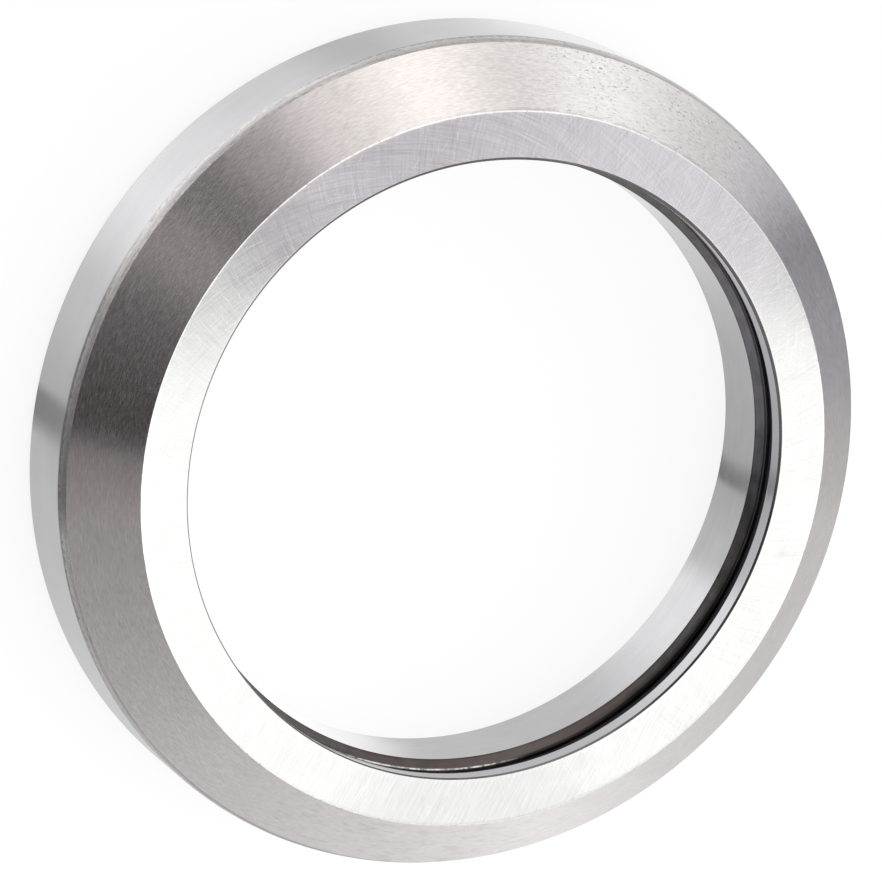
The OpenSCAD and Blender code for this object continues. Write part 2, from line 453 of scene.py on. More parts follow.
def ground_seat(inner, outer):
    """The conical seats: a fine grain from the wheel, and small torn pits, most of them on one side."""
    steel = colours().seat_steel
    f = Finish("Ground seat", steel, 0.25, anisotropic=0.85)
    g = f.g
    across = g.times(g.minus(f.radius, f.height), math.sqrt(0.5))
    fine = f.marks(across, 0.34, 0.062, 3.1, 4)
    broad = f.marks(across, 0.7, 0.16, 11.7)
    cloud = f.marks(across, 1.3, 0.9, 23.9, 3)
    torn_side = f.side(204, 0.60, 1.0)

    border = g.fit(g.math("ABSOLUTE", g.minus(f.radius, (inner + outer) / 2 / MM)), 0.5, 1.2, 0.6, 1.0)
    cluster = g.fit(f.marks(across, 1.8, 0.9, 52.6, 1), 0.34, 0.56)
    pits = g.fit(f.marks(across, 0.20, 0.10, 31.3), 0.60, 0.67)
    pits = g.times(pits, cluster, f.side(189, 0.91, 0.98), border)
    stains = g.times(g.fit(f.marks(across, 0.7, 0.35, 57.3, 3), 0.52, 0.68), f.side(26, 0.85, 1.0))
    specks = g.times(g.fit(f.marks(across, 0.24, 0.05, 96.9), 0.62, 0.74), f.side(36, 0.70, 0.97))
    foot = g.plus(f.radius, g.spread(broad, 0.12, -0.12))
    foot = g.times(g.fit(foot, inner / MM + 0.04, inner / MM + 0.16, 1.0, 0.0), f.side(196, 0.80, 0.96))

    level = g.times(g.spread(fine, -0.068, 0.068), g.between(torn_side, 1.0, 2.0))
    level = g.plus(level, g.spread(broad, 0.985, 1.015), g.spread(cloud, -0.022, 0.022))
    level = g.plus(level, g.times(specks, 0.16), g.times(stains, -0.11), g.times(foot, -0.20))
    # Painted shade on one side of the seat, and painted reflection tints on three sides
    level = f.painted_light_and_shade(level, 233, 0.94, 0.99, 0.97)
    colour = f.painted_reflection_tint(steel, 230, 0.86, 0.99, PAINTED_STRAW_REFLECTION)
    colour = f.painted_reflection_tint(colour, 280, 0.75, 0.92, PAINTED_PLUM_REFLECTION)
    colour = f.painted_reflection_tint(colour, 152, 0.90, 0.98, PAINTED_SLATE_REFLECTION)
    f.shade(g.times(level, g.between(pits, 1.0, 0.50)), colour)
    f.rough(g.plus(g.spread(fine, 0.22, 0.27), g.times(pits, 0.15)))
    f.relief(g.minus(g.times(fine, g.between(torn_side, 0.4, 1.0)), pits), 0.0005 * MM)
    return f.material


def bright_edge():
    """The edge between the seat and the front face, burnished by handling, with nicks."""
    f = Finish("Bright edge", BURNISH_AND_GLINT_STEEL, 0.2)
    nicks = f.marks(f.radius, 0.2, 0.5, 91.3)
    f.shade(f.g.fit(nicks, 0.58, 0.70, 1.0, 0.72))
    f.rough(f.g.spread(nicks, 0.16, 0.28))
    return f.material


def broken_edge():
    """The lip's small chamfer: a dull grey, with tool lines, painted light on one side and painted shade on
    another.
    """
    f = Finish("Broken edge", EDGE_STEEL, 0.3)
    lines = f.marks(f.radius, 1.2, 0.05, 21.3)
    # Painted shade on one side of the chamfer and painted light on another
    level = f.painted_light_and_shade(f.g.spread(lines, 0.85, 1.1), 174, 0.93, 0.985, 0.78)
    f.shade(f.painted_light_and_shade(level, 118, 0.80, 0.97, 1.45))
    f.rough(f.g.spread(lines, 0.26, 0.36))
    return f.material


def ground_face():
    """The flat faces: fine lines from the wheel that cross them, leaning either way, and short scratches."""
    steel = colours().face_steel
    f = Finish("Ground face", steel, 0.20, anisotropic=0.2)
    g = f.g
    outwards = g.over(g.minus(f.radius, f.MEAN_RADIUS), f.MEAN_RADIUS)

    def crossing(lean, length, width, seed, detail=2):
        """Marks that cross the face, leaning from the radius by an angle in degrees."""
        turn = g.times(outwards, math.tan(math.radians(lean)))
        return f.marks(f.radius, width, length, seed, detail, turn)

    # Straight marks, all along one way across the whole face
    x, y, _ = g.split(g.scale(g.turned(f.round, math.radians(-7)), f.radius))
    straight = g.noise(g.combine(g.over(x, 1.9), g.over(y, 0.085), 29.1))
    # Each set of marks, the side where it is strongest, its least share, and its bundles
    sets = (
        (crossing(-17, 2.8, 0.085, 5.3), 140, 0.3, crossing(-17, 5.0, 0.9, 9.0, 1)),
        (crossing(19, 2.4, 0.09, 17.9), 228, 0.35, crossing(19, 5.0, 0.9, 21.6, 1)),
        (crossing(-71, 0.9, 0.26, 12.3), 240, 0.0, crossing(-71, 1.6, 2.4, 44.4, 1)),
        (straight, 45, 0.15, crossing(-30, 5.0, 0.9, 32.8, 1)),
    )
    height = 0.0
    for marks, strong_side, least, bundles in sets:
        share = g.between(f.side(strong_side, 0.1, 0.9), least, 1.0)
        share = g.times(share, g.fit(bundles, 0.35, 0.65, 0.45, 1.3))
        height = g.plus(height, g.times(g.minus(marks, 0.5), share))
    scratches = 0.0
    for lean, length, width, seed in ((50, 0.7, 0.06, 41.3), (-62, 0.8, 0.06, 53.9), (8, 0.9, 0.05, 67.7),
                                      (-68, 1.2, 0.12, 61.3)):
        scratches = g.larger(scratches, g.fit(crossing(lean, length, width, seed, 1), 0.69, 0.75))
    scratches = g.times(scratches, g.between(f.side(195, -0.3, 0.4), 0.2, 1.0))

    patches = g.spread(f.marks(f.radius, 1.4, 0.9, 73.1), 0.95, 0.99)
    level = g.plus(patches, g.times(height, 0.30), g.times(scratches, 0.24))
    # Painted light and painted shade on several sides of the face, and a painted reflection tint on one
    level = g.times(level, g.between(f.side(240, 0.65, 0.97), 1.03, 0.88))
    level = f.painted_light_and_shade(level, 190, 0.8, 1.0, 1.09)
    level = f.painted_light_and_shade(level, 34, 0.90, 0.99, 0.89)
    level = f.painted_light_and_shade(level, 258.5, 0.985, 1.0, 0.86)
    f.shade(level, f.painted_reflection_tint(steel, 210, 0.45, 0.85, PAINTED_LILAC_REFLECTION))
    f.rough(g.fit(height, -0.3, 0.3, 0.17, 0.22))
    f.relief(g.plus(height, scratches), 0.0003 * MM)
    return f.material


def turned_band(land_top, seat_edge):
    """The narrow band left as turned above the land: dull, torn, and dark along both its edges, with a
    painted highlight along its middle and painted glints on one side.
    """
    f = Finish("Turned band", colours().band_steel, 0.30, anisotropic=0.5)
    g = f.g
    low, high = land_top / MM, seat_edge / MM
    lines = f.marks(f.height, 2.2, 0.085, 7.7)
    specks = f.marks(f.height, 0.22, 0.09, 19.3)
    # Painted glints on one side
    glints = g.times(g.fit(f.marks(f.height, 0.16, 0.08, 27.9, 1), 0.70, 0.80), f.side(215, 0.5, 1.0))
    torn = g.minus(f.height, g.spread(specks, 0.0, 0.17))
    head = g.fit(torn, high - 0.17, high - 0.07)
    # Distance from the band's middle, where a highlight is painted
    painted_highlight_offset = g.math("ABSOLUTE", g.minus(torn, 0.45 * low + 0.55 * high))
    foot_side = g.larger(f.side(305, 0.6, 0.95), g.between(f.side(212, 0.72, 0.93), 0.0, 0.75))
    foot = g.times(g.fit(torn, low - 0.02, low + 0.12, 1.0, 0.0), foot_side)
    level = g.plus(g.spread(lines, 0.78, 1.16), g.fit(specks, 0.4, 0.7, 0.08, -0.18),
                   g.fit(painted_highlight_offset, 0.0, 0.15, 0.36, 0.0), glints)
    f.shade(g.times(level, g.between(head, 1.0, 0.55), g.between(foot, 1.0, 0.46)))
    f.rough(g.spread(specks, 0.24, 0.36))
    f.relief(g.plus(lines, specks), 0.0010 * MM)
    return f.material


def ground_land(top):
    """The outside diameter: a fine satin from centreless grinding, darker along part of its top."""
    f = Finish("Ground land", colours().satin_steel, 0.20, anisotropic=0.6)
    g = f.g
    fine = f.marks(f.height, 2.4, 0.04, 13.3, 3)
    cloud = f.marks(f.height, 2.2, 1.4, 37.7)
    # Darker along the top of the land on one side
    darker_top = g.times(g.fit(f.height, top / MM - 0.28, top / MM, smooth=True), f.side(300, 0.5, 0.9))
    level = g.plus(g.spread(fine, 0.97, 1.03), g.spread(cloud, -0.025, 0.025))
    f.shade(g.times(level, g.between(darker_top, 1.0, 0.78)))
    f.rough(g.spread(fine, 0.18, 0.23))
    f.relief(fine, 0.0003 * MM)
    return f.material


def honed_bore(name, colour):
    """The bores: smooth, with faint lines round them and a cloudy polish."""
    f = Finish(name, colour, 0.14, anisotropic=0.3)
    g = f.g
    fine = f.marks(f.height, 3.2, 0.045, 2.9, 3)
    cloud = f.marks(f.height, 1.8, 1.0, 43.3, 3)
    f.shade(g.plus(g.spread(fine, 0.965, 1.035), g.spread(cloud, -0.03, 0.03)))
    f.rough(g.spread(cloud, 0.11, 0.18))
    f.relief(fine, 0.0002 * MM)
    return f.material


def turned_steel():
    """Chamfers, grooves and walls left as turned and heat treated: darker, with tool lines."""
    f = Finish("Turned steel", colours().dark_steel, 0.36, anisotropic=0.5)
    g = f.g
    across = g.plus(f.radius, f.height)
    lines = f.marks(across, 3.0, 0.05, 59.3, 3)
    cloud = f.marks(across, 0.9, 0.5, 61.1, 3)
    f.shade(g.plus(g.spread(lines, 0.82, 1.15), g.spread(cloud, -0.12, 0.12)))
    f.rough(g.spread(cloud, 0.30, 0.42))
    f.relief(lines, 0.0012 * MM)
    return f.material


def turned_rim(bore_top, rim_edge):
    """The inner ring's front rim, heat treated: painted brown shade and blue reflection on two sides, a
    painted shadow on one, and a painted glint along part of its edge.
    """
    steel = colours().dark_steel
    f = Finish("Turned rim", steel, 0.36, anisotropic=0.5)
    g = f.g
    foot, edge_radius, edge_height = bore_top / MM, rim_edge.x / MM, rim_edge.y / MM
    lines = f.marks(g.plus(f.radius, f.height), 3.0, 0.05, 59.3, 3)
    cloud = f.marks(f.height, 0.9, 0.5, 61.1, 3)
    nicks = f.marks(f.radius, 0.35, 0.3, 87.1, 3)
    # A painted glint along part of the rim's edge, on one side
    painted_glint_side = f.side(28, 0.94, 0.985)
    painted_glint = g.times(g.fit(f.height, edge_height - 0.065, edge_height - 0.03),
                    g.fit(f.radius, edge_radius, edge_radius + 0.045, 1.0, 0.0),
                    g.fit(nicks, 0.38, 0.58, 0.1, 1.0), painted_glint_side)
    shadow = g.times(g.fit(f.height, edge_height - 0.31, edge_height - 0.06), f.side(82, 0.915, 0.985))
    # Painted shade along the top of the rim, except where the glint is painted
    painted_edge_shade = g.times(g.fit(f.height, edge_height - 0.11, edge_height - 0.05), g.minus(1.0, painted_glint_side))
    level = g.plus(g.spread(lines, 0.86, 1.12), g.spread(cloud, -0.10, 0.10))
    # Painted shade along the rim's edge at the bore
    level = g.times(level, g.fit(f.height, foot, foot + 0.09, 0.6, 1.0))
    level = g.times(level, g.between(shadow, 1.0, 0.24), g.between(painted_edge_shade, 1.0, 0.25))
    # Painted light on one side of the rim and painted shade on another
    level = f.painted_light_and_shade(level, 84, 0.90, 0.985, 1.38)
    level = f.painted_light_and_shade(level, 119, 0.975, 0.995, 0.80)
    # Painted brown shade on one side of the rim and a painted blue reflection on another
    colour = f.painted_reflection_tint(steel, 42, 0.70, 0.93, PAINTED_BROWN_SHADE)
    colour = f.painted_reflection_tint(colour, 139, 0.86, 0.975, PAINTED_BLUE_REFLECTION)
    f.shade(level, g.blend(painted_glint, colour, BURNISH_AND_GLINT_STEEL))
    f.rough(g.spread(cloud, 0.30, 0.42))
    f.relief(lines, 0.0010 * MM)
    return f.material


def lapped_race():
    """The raceways: lapped nearly to a mirror."""
    f = Finish("Lapped race", colours().polished_steel, 0.1, anisotropic=0.3)
    lines = f.marks(f.g.plus(f.radius, f.height), 4.0, 0.03, 71.9)
    f.shade(f.g.spread(lines, 0.96, 1.03))
    f.rough(f.g.spread(lines, 0.08, 0.12))
    f.relief(lines, 0.0001 * MM)
    return f.material


def moulded_rubber():
    """The seals: black nitrile with a fine mould grain and a little bloom."""
    f = Finish("Moulded rubber", colours().rubber, 0.55, metallic=0.0)
    g = f.g
    place = g.place()
    grain = g.noise(g.scale(place, 18.0), 3)
    bloom = g.noise(g.scale(place, 1.3), 3)
    f.shade(g.plus(g.spread(grain, 0.8, 1.2), g.fit(bloom, 0.45, 0.75, 0.0, 0.8)))
    f.rough(g.spread(bloom, 0.48, 0.62))
    f.relief(grain, 0.004 * MM)
    return f.material


def moulded_nylon():
    """The cage: glass-filled nylon with short fibres under a slightly glossy skin."""
    f = Finish("Moulded nylon", colours().nylon, 0.42, metallic=0.0)
    g = f.g
    fibres = f.marks(g.plus(f.radius, f.height), 0.5, 0.04, 83.3, 3)
    skin = g.noise(g.scale(g.place(), 6.0), 3)
    f.shade(g.plus(g.fit(fibres, 0.55, 0.75, 0.85, 1.9), g.spread(skin, -0.1, 0.1)))
    f.rough(g.spread(skin, 0.34, 0.5))
    f.relief(g.plus(fibres, skin), 0.003 * MM)
    return f.material


def polished_ball():
    """The balls: mirror polish with hairline marks and a trace of grease haze."""
    f = Finish("Polished ball", colours().polished_steel, 0.06)
    g = f.g
    place = g.place()
    haze = g.noise(g.scale(place, 1.1), 3)
    hair = g.noise(g.vector("MULTIPLY", place, (2.0, 24.0, 3.0)))
    f.shade(g.spread(haze, 0.93, 1.02))
    f.rough(g.plus(g.fit(haze, 0.35, 0.7, 0.035, 0.09), g.fit(hair, 0.66, 0.74, 0.0, 0.08)))
    f.relief(hair, 0.00005 * MM)
    return f.material


def section_of(node):
    """The outline of a turned piece where the plane y = 0 cuts it, clockwise, as (radius, height) points."""
    bm = bmesh.new()
    bm.from_mesh(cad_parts[node].data)
    bmesh.ops.remove_doubles(bm, verts=bm.verts, dist=SAME_POINT)
    whole = [*bm.verts, *bm.edges, *bm.faces]
    cut = bmesh.ops.bisect_plane(bm, geom=whole, dist=SAME_POINT, plane_co=(0, 0, 0), plane_no=(0, 1, 0))
    beside = {}
    for edge in cut["geom_cut"]:
        if isinstance(edge, bmesh.types.BMEdge) and min(v.co.x for v in edge.verts) > 0:
            first, second = edge.verts
            beside.setdefault(first, []).append(second)
            beside.setdefault(second, []).append(first)
    if not beside or any(len(near) != 2 for near in beside.values()):
        raise RuntimeError(f"the section of {node} isn't one closed outline")
    start = min(beside, key=lambda v: (v.co.z, v.co.x))
    outline, last, here = [start], start, beside[start][0]
    while here is not start:
        outline.append(here)
        last, here = here, next(v for v in beside[here] if v is not last)
    points = [Vector((v.co.x, v.co.z)) for v in outline]
    bm.free()
    area = sum(a.cross(b) for a, b in zip(points, points[1:] + points[:1]))
    if area > 0:
        points.reverse()
    return [p for p, turn in zip(points, turns(points)) if abs(turn) > STRAIGHT]


def turns(points):
    """How far the closed outline turns at each point."""
    found = []
    for i, here in enumerate(points):
        into, out = here - points[i - 1], points[(i + 1) % len(points)] - here
        found.append(math.atan2(into.cross(out), into.dot(out)))
    return found


class Corner(NamedTuple):
    """A corner of a section that isn't broken like the rest."""

    place: Vector
    radius: float
    ragged: float = 0.0
    lean: float = 0.0


def section_mesh(name, points, settings, corners):
    """The outline as a ring of edges in the XY plane, whose points carry what Corner says of them.

    A long edge gets a point near each end, so that what happens at a corner stays there.
    """
    places, rows = [], []
    for here, after, turn in zip(points, points[1:] + points[:1], turns(points)):
        plain = Corner(here, settings.corner_radius if abs(turn) > CORNER else 0.0)
        corner = next((c for c in corners if (c.place - here).length < SAME_POINT), plain)
        places.append(here)
        rows.append(corner[1:])
        along = after - here
        if along.length > 3 * settings.hold:
            step = along.normalized() * settings.hold
            places += [here + step, after - step]
            rows += [(0.0, 0.0, 0.0)] * 2
    mesh = bpy.data.meshes.new(name)
    count = len(places)
    mesh.from_pydata([(p.x, p.y, 0) for p in places], [(i, (i + 1) % count) for i in range(count)], [])
    for attribute, values in zip(("corner_radius", "ragged", "lean"), zip(*rows)):
        mesh.attributes.new(attribute, "FLOAT", "POINT").data.foreach_set("value", values)
    return mesh


def lathe_tree(name, base, bands):
    """Rounds the section's corners, lathes it, lets ground edges wander and gives each band its finish.

    A band is (material, range of radius, range of height, range of the normal's height), with None for any.
    """
    tree = bpy.data.node_groups.new(name, "GeometryNodeTree")
    sockets = (("Section", "Geometry"), ("Segments", "Int"), ("Corner points", "Int"),
               ("Ragged edge", "Float"), ("Lean", "Float"), ("Wide side", "Float"))
    for socket, kind in sockets:
        tree.interface.new_socket(name=socket, in_out="INPUT", socket_type="NodeSocket" + kind)
    tree.interface.new_socket(name="Piece", in_out="OUTPUT", socket_type="NodeSocketGeometry")
    g = Graph(tree)
    sizes = g.add("NodeGroupInput").outputs

    def changed(geometry, kind, **inputs):
        return g.add(kind, {"Geometry": geometry, **inputs}).outputs[0]

    def stored(attribute):
        return g.add("GeometryNodeInputNamedAttribute", {"Name": attribute}).outputs[0]

    def both(first, second):
        return g.add("FunctionNodeBooleanMath", {0: first, 1: second}, operation="AND").outputs[0]

    curve = g.add("GeometryNodeMeshToCurve", {0: sizes["Section"]}).outputs[0]
    rounding = {"Curve": curve, "Count": sizes["Corner points"], "Radius": stored("corner_radius"),
                "Limit Radius": True}
    curve = g.add("GeometryNodeFilletCurve", rounding, mode="POLY").outputs[0]
    across, up, _ = g.split(g.add("GeometryNodeInputPosition").outputs[0])
    curve = changed(curve, "GeometryNodeStoreNamedAttribute", Name="section_r", Value=across)
    curve = changed(curve, "GeometryNodeStoreNamedAttribute", Name="section_z", Value=up)

    circle = g.add("GeometryNodeCurvePrimitiveCircle", {"Resolution": sizes["Segments"]}).outputs[0]
    turn = g.times(g.add("GeometryNodeSplineParameter").outputs["Factor"], math.tau)
    circle = changed(circle, "GeometryNodeStoreNamedAttribute", Name="turn", Value=turn)
    mesh = g.add("GeometryNodeCurveToMesh", {"Curve": circle, "Profile Curve": curve}).outputs[0]

    angle = stored("turn")
    direction = g.combine(g.math("COSINE", angle), g.math("SINE", angle), 0.0)
    lean = g.times(g.math("COSINE", g.minus(angle, sizes["Wide side"])), sizes["Lean"], stored("lean"))
    reach = g.plus(stored("section_r"), lean)
    place = g.vector("ADD", g.scale(direction, reach), g.combine(0.0, 0.0, stored("section_z")))
    chips = g.fit(g.noise(g.scale(place, 1 / CHIP_LENGTH), 3), 0.5, 0.75, 0.0, -1.0)
    chips = g.times(chips, sizes["Ragged edge"], stored("ragged"))
    normal = g.add("GeometryNodeInputNormal").outputs[0]
    mesh = changed(mesh, "GeometryNodeSetPosition", Position=place)
    mesh = changed(mesh, "GeometryNodeSetPosition", Offset=g.scale(normal, chips))
    mesh = changed(mesh, "GeometryNodeSetShadeSmooth")
    mesh = changed(mesh, "GeometryNodeRealizeInstances")
    mesh = changed(mesh, "GeometryNodeSetMaterial", Material=base)

    x, y, z = g.split(g.add("GeometryNodeInputPosition").outputs[0])
    measures = (g.length(g.combine(x, y, 0.0)), z, g.split(normal)[2])
    for material, *ranges in bands:
        inside = []
        for value, limits in zip(measures, ranges):
            if limits:
                low, high = limits
                inputs = {0: value, 1: (low + high) / 2, "Epsilon": (high - low) / 2}
                within = g.add("FunctionNodeCompare", inputs, data_type="FLOAT", operation="EQUAL")
                inside.append(within.outputs[0])
        mesh = changed(mesh, "GeometryNodeSetMaterial", Selection=reduce(both, inside), Material=material)
    g.add("NodeGroupOutput", {0: mesh})
    return tree


def as_plain_mesh(piece):
    """Turns what the modifiers make into the piece's own mesh, and removes them."""
    evaluated = piece.evaluated_get(bpy.context.evaluated_depsgraph_get())
    mesh = bpy.data.meshes.new_from_object(evaluated)
    piece.modifiers.clear()
    piece.data = mesh
    mesh.name = piece.name
    for name in WORK_ATTRIBUTES:
        if name in mesh.attributes:
            mesh.attributes.remove(mesh.attributes[name])


def add_object(name, data):
    """Makes an object and links it to the scene."""
    made = bpy.data.objects.new(name, data)
    bpy.context.scene.collection.objects.link(made)
    return made


def lathed_piece(name, node, body, base, bands=(), corners=()):
    """Lathes a node's section anew and puts the piece in the node's place."""
    settings = bpy.context.scene.bearing_rings
    piece = add_object(name, section_mesh(name, section_of(node), settings, corners))
    lathe = piece.modifiers.new("Lathe", "NODES")
    lathe.node_group = lathe_tree(name + " lathe", base, bands)
    values = {"Segments": settings.segments, "Corner points": settings.corner_points,
              "Ragged edge": settings.ragged, "Lean": settings.lip_lean, "Wide side": settings.lip_wide_side}
    for item in lathe.node_group.interface.items_tree:
        if item.name in values:
            lathe[item.identifier] = values[item.name]
    weighted = piece.modifiers.new("Even normals", "WEIGHTED_NORMAL")
    weighted.weight = LARGEST_WEIGHT
    as_plain_mesh(piece)
    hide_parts(node)
    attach(piece, body)


def wear(node, material):
    """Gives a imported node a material."""
    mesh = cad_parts[node].data
    mesh.materials.clear()
    mesh.materials.append(material)


def around(value, reach=NEAR):
    """A range that reaches as far below a value as above it."""
    return value - reach, value + reach


class BEARING_OT_outer_ring(bpy.types.Operator):
    """Lathe the outer ring, with its ground seat, face and land"""

    bl_idname = "bearing.outer_ring"
    bl_label = "Outer ring"

    def execute(self, context):
        points = section_of("outer_ring")
        face = [p for p in points if p.y > RING_HEIGHT - SAME_POINT]
        face_edge, lip_edge = max(face, key=lambda p: p.x), min(face, key=lambda p: p.x)
        land_top = max((p for p in points if p.x > OUTER_RADIUS - SAME_POINT), key=lambda p: p.y)
        above_land = [p for p in points if p.y > land_top.y + SAME_POINT and p.x > face_edge.x]
        seat_edge = min(above_land, key=lambda p: p.y)
        bore = min(p.x for p in points)
        rings = context.scene.bearing_rings
        corners = (
            Corner(face_edge, rings.seat_edge_radius, ragged=1.0),
            Corner(land_top, rings.land_edge_radius),
            Corner(lip_edge, rings.corner_radius, lean=1.0),
        )
        wide, narrow = 0.2 * MM, 0.08 * MM
        top = RING_HEIGHT + NEAR
        cone = (land_top.y - wide, RING_HEIGHT)
        face_finish = ground_face()
        bands = (
            (lapped_race(), None, OUTER_RACE, NOT_FLAT),
            (honed_bore("Honed lip", LIP_STEEL), (0, bore + NEAR), None, UPRIGHT),
            (ground_land(land_top.y), around(OUTER_RADIUS), None, LAND_SLOPE),
            (turned_band(land_top.y, seat_edge.y), (face_edge.x, OUTER_RADIUS + NEAR), cone, BAND_SLOPE),
            (ground_seat(face_edge.x, seat_edge.x), (face_edge.x - NEAR, OUTER_RADIUS), cone, SEAT_SLOPE),
            (bright_edge(), around(face_edge.x, narrow), (RING_HEIGHT - narrow, top), SEAT_EDGE_SLOPE),
            (face_finish, (lip_edge.x - wide, face_edge.x + NEAR), around(RING_HEIGHT), FACING_UP),
            (face_finish, None, around(OUTER_LOW.z), FACING_DOWN),
            (broken_edge(), (bore - NEAR, lip_edge.x + wide), (RING_HEIGHT - wide, top), LIP_EDGE_SLOPE),
        )
        lathed_piece("ground_outer_ring", "outer_ring", "outer", turned_steel(), bands, corners)
        return {"FINISHED"}


class BEARING_OT_inner_ring(bpy.types.Operator):
    """Lathe the inner ring, with its honed bore and its ground seat"""

    bl_idname = "bearing.inner_ring"
    bl_label = "Inner ring"

    def execute(self, context):
        points = section_of("inner_ring")
        bore = min(p.x for p in points)
        bore_top = max(p.y for p in points if p.x < bore + SAME_POINT)
        rim_edge = min((p for p in points if p.y > RIM_HEIGHT - SAME_POINT), key=lambda p: p.x)
        corners = (Corner(rim_edge, context.scene.bearing_rings.rim_edge_radius),)
        made = bpy.data.materials
        clear_of_bore = (bore + 1 * MM, OUTER_RADIUS)
        bands = (
            (made["Lapped race"], clear_of_bore, INNER_RACE, NOT_FLAT),
            (honed_bore("Honed bore", colours().satin_steel), (0, bore + NEAR), None, UPRIGHT),
            (made["Ground seat"], None, None, BACK_SEAT_SLOPE),
            (made["Ground face"], None, around(INNER_LOW.z), FACING_DOWN),
            (turned_rim(bore_top, rim_edge), None, (bore_top - NEAR, RIM_HEIGHT + NEAR), RIM_SLOPE),
        )
        base = made["Turned steel"]
        lathed_piece("honed_inner_ring", "inner_ring", "inner", base, bands, corners)
        return {"FINISHED"}


class BEARING_OT_seals(bpy.types.Operator):
    """Lathe the two rubber seals"""

    bl_idname = "bearing.seals"
    bl_label = "Seals"

    def execute(self, context):
        rubber = moulded_rubber()
        for node in ("front_seal", "back_seal"):
            lathed_piece("moulded_" + node, node, "outer", rubber)
        return {"FINISHED"}


class BEARING_OT_cage(bpy.types.Operator):
    """Give the ball cage its moulded nylon"""

    bl_idname = "bearing.cage"
    bl_label = "Ball cage"

    def execute(self, context):
        wear("ball_cage", moulded_nylon())
        return {"FINISHED"}


class BEARING_OT_balls(bpy.types.Operator):
    """Give the balls their polish"""

    bl_idname = "bearing.balls"
    bl_label = "Balls"

    def execute(self, context):
        polish = polished_ball()
        for node in sorted(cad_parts):
            if node.startswith("ball_") and node != "ball_cage":
                wear(node, polish)
        return {"FINISHED"}


def compass(g, x, y, swing=0.0):
    """The compass angle of a direction, from 0 to 1, starting at +X and going anticlockwise from above."""
    angle = g.over(g.math("ARCTAN2", y, x), math.tau)
    return g.math("FRACT", g.plus(g.minus(angle, swing), 1.0))


def tone_ramp(g, angle, tones):
    """A ring of brightness from (compass angle in degrees, brightness) pairs, whose ends meet."""
    node = g.add("ShaderNodeValToRGB", {0: angle})
    ramp = node.color_ramp
    ramp.interpolation = "EASE"
    stops = [*tones, (360, tones[0][1])]
    peak = max(level for _, level in stops)
    while len(ramp.elements) < len(stops):
        ramp.elements.new(0.5)
    for element, (degrees, level) in zip(ramp.elements, stops):
        element.position = degrees / 360
        element.color = (level / peak, level / peak, level / peak, 1)
    return g.times(node.outputs[0], peak)


def light_tent(settings):
    """The world: a white tent whose wall is darker where it opens for the camera, and a white backdrop."""
    world = bpy.data.worlds.new("Light tent")
    bpy.context.scene.world = world
    world.use_nodes = True
    world.node_tree.nodes.clear()
    g = Graph(world.node_tree)
    x, y, up = g.split(g.add("ShaderNodeTexCoord").outputs["Generated"])
    wall = tone_ramp(g, compass(g, x, y), TENT_WALL)
    roof = g.fit(y, *ROOF_CHANGE, settings.roof_level, settings.far_roof_level, smooth=True)
    level = g.mix(g.fit(up, *ROOF_EDGE, smooth=True), wall, roof)
    seen = g.add("ShaderNodeLightPath").outputs["Is Camera Ray"]
    inputs = {"Color": (1, 1, 1, 1), "Strength": g.larger(level, seen)}
    background = g.add("ShaderNodeBackground", inputs).outputs[0]
    g.add("ShaderNodeOutputWorld", {"Surface": background})


def floor_material(settings):
    """White paper with the bearing's shadow. The camera sees it white, and steel sees the tent's tones."""
    material = bpy.data.materials.new("White floor")
    material.use_nodes = True
    nodes = material.node_tree.nodes
    g = Graph(material.node_tree)
    paper = nodes["Principled BSDF"]
    paper.inputs["Base Color"].default_value = (*colours().floor, 1)
    paper.inputs["Roughness"].default_value = PAPER_ROUGHNESS
    place = g.add("ShaderNodeTexCoord").outputs["Object"]
    x, y, _ = g.split(place)
    radius = g.length(place)
    inside = g.math("LESS_THAN", radius, settings.bore_floor)
    # The tones swing round with the distance from a wall, so that in the wall they stand along the axis
    bore_radius = min(point.x for point in section_of("inner_ring"))
    distance = g.minus(g.mix(inside, OUTER_RADIUS, bore_radius), radius)
    swing = g.times(g.over(x, y), g.over(distance, g.times(radius, math.tau)))
    swing = g.times(swing, g.between(inside, 1.0, BORE_SWING))
    swing = g.larger(g.math("MINIMUM", swing, GREATEST_SWING), -GREATEST_SWING)
    near_wall = g.larger(inside, g.math("LESS_THAN", y, 0.0))
    angle = compass(g, x, y, g.times(swing, near_wall))
    beside = g.math("LESS_THAN", radius, settings.near_floor)
    tone = g.mix(beside, tone_ramp(g, angle, FAR_FLOOR), tone_ramp(g, angle, NEAR_FLOOR))
    tone = g.mix(inside, tone, tone_ramp(g, angle, TENT_MIDDLE))
    path = g.add("ShaderNodeLightPath").outputs
    glossy = path["Is Glossy Ray"]
    level = g.mix(glossy, settings.floor_white, tone)
    glow = g.add("ShaderNodeEmission", {"Color": (1, 1, 1, 1), "Strength": level}).outputs[0]
    share = g.larger(g.times(path["Is Camera Ray"], settings.floor_glow), g.times(glossy, GLOSSY_SHARE))
    surface = g.add("ShaderNodeMixShader", {0: share, 1: paper.outputs[0], 2: glow}).outputs[0]
    material.node_tree.links.new(surface, nodes["Material Output"].inputs["Surface"])
    return material


def make_floor(settings):
    """A square of paper just under the bearing."""
    half = settings.floor_size / 2
    corners = [(-half, -half), (half, -half), (half, half), (-half, half)]
    mesh = bpy.data.meshes.new("Floor")
    mesh.from_pydata([(x, y, -FLOOR_GAP) for x, y in corners], [], [(0, 1, 2, 3)])
    mesh.materials.append(floor_material(settings))
    floor = add_object("Floor", mesh)


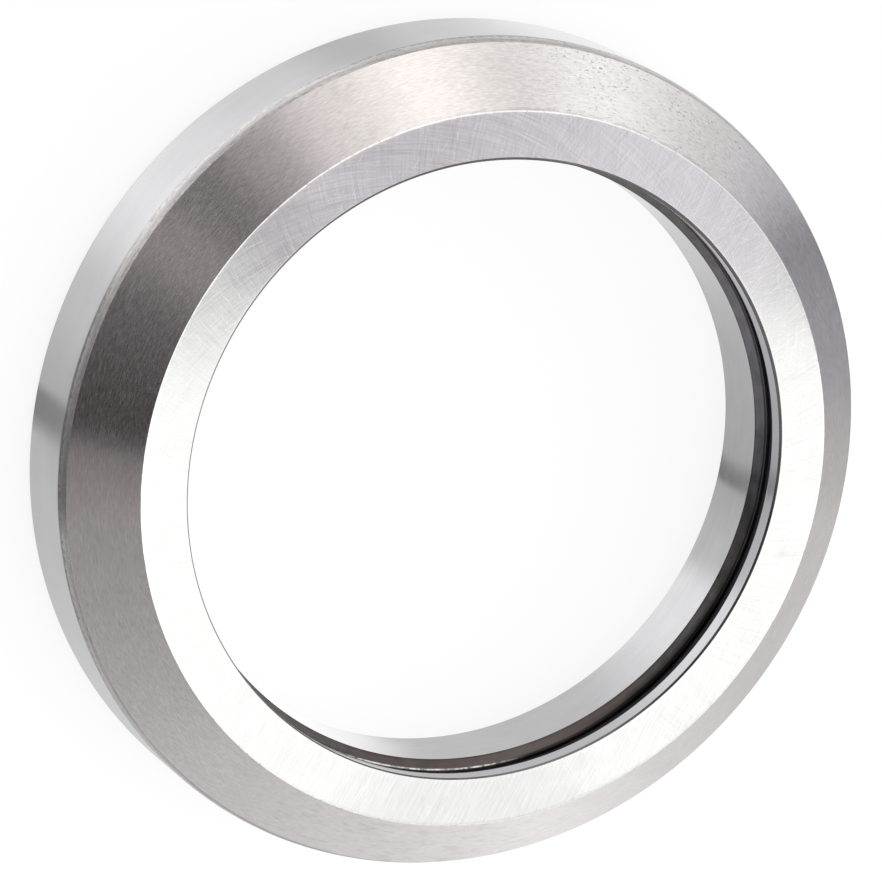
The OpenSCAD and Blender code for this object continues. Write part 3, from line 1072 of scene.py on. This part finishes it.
def make_camera(settings):
    """Looks down on the front face from the -Y side, turned in the picture as the photograph is."""
    data = bpy.data.cameras.new("Camera")
    data.lens = settings.focal_length
    data.sensor_width = SENSOR_WIDTH
    data.clip_start = CLIP_START
    camera = add_object("Camera", data)
    tilt = Matrix.Rotation(math.pi / 2 - settings.view_elevation, 4, "X")
    turned = tilt @ Matrix.Rotation(settings.view_roll, 4, "Z")
    offset = Vector((settings.view_right, -settings.view_down, -settings.view_distance))
    camera.matrix_world = Matrix.Translation(Vector((0, 0, RING_HEIGHT)) - turned @ offset) @ turned
    bpy.context.scene.camera = camera


def make_lamp(settings):
    """A square soft lamp that the front face mirrors, with its near edge across the face."""
    size = settings.lamp_size
    data = bpy.data.lights.new("Soft lamp", "AREA")
    data.shape = "SQUARE"
    data.size = size
    data.energy = settings.lamp_level * math.pi * size ** 2
    lamp = add_object("Soft lamp", data)
    lamp.visible_camera = False
    bounce = Matrix.Rotation(settings.view_elevation - math.pi / 2, 4, "X")
    turn = Matrix.Rotation(settings.lamp_turn, 4, "Z")
    aside = turn @ Vector((size / 2 - settings.lamp_reach, 0, 0))
    place = bounce @ (aside + Vector((0, 0, settings.lamp_distance))) + Vector((0, 0, RING_HEIGHT))
    lamp.matrix_world = Matrix.Translation(place) @ bounce @ turn


class BEARING_OT_stage(bpy.types.Operator):
    """Set up the floor, the light tent, the soft lamp and the camera"""

    bl_idname = "bearing.stage"
    bl_label = "Stage"

    def execute(self, context):
        settings = context.scene.bearing_stage
        context.scene.view_settings.view_transform = "Standard"
        make_camera(settings)
        make_floor(settings)
        light_tent(settings)
        make_lamp(settings)
        return {"FINISHED"}


class BEARING_PT_pieces(bpy.types.Panel):
    """Lists the pieces and the stage"""

    bl_label = "Headset bearing"
    bl_idname = "BEARING_PT_pieces"
    bl_space_type = "VIEW_3D"
    bl_region_type = "UI"
    bl_category = "Bearing"

    def draw(self, context):
        layout = self.layout
        for operator in OPERATORS:
            layout.operator(operator.bl_idname)
        scene = context.scene
        for settings in (scene.bearing_colours, scene.bearing_rings, scene.bearing_stage):
            column = layout.column(align=True)
            for name in settings.__annotations__:
                column.prop(settings, name)


OPERATORS = (
    BEARING_OT_stage,
    BEARING_OT_outer_ring,
    BEARING_OT_inner_ring,
    BEARING_OT_seals,
    BEARING_OT_cage,
    BEARING_OT_balls,
)
CLASSES = (StageSettings, RingSettings, ColourSettings, *OPERATORS, BEARING_PT_pieces)


def register():
    for cls in CLASSES:
        bpy.utils.register_class(cls)
    bpy.types.Scene.bearing_stage = bpy.props.PointerProperty(type=StageSettings)
    bpy.types.Scene.bearing_rings = bpy.props.PointerProperty(type=RingSettings)
    bpy.types.Scene.bearing_colours = bpy.props.PointerProperty(type=ColourSettings)


def unregister():
    del bpy.types.Scene.bearing_colours
    del bpy.types.Scene.bearing_rings
    del bpy.types.Scene.bearing_stage
    for cls in reversed(CLASSES):
        bpy.utils.unregister_class(cls)


def main():
    register()
    bpy.ops.bearing.stage()
    bpy.ops.bearing.outer_ring()
    bpy.ops.bearing.inner_ring()
    bpy.ops.bearing.seals()
    bpy.ops.bearing.cage()
    bpy.ops.bearing.balls()


if __name__ == "__main__":
    main()
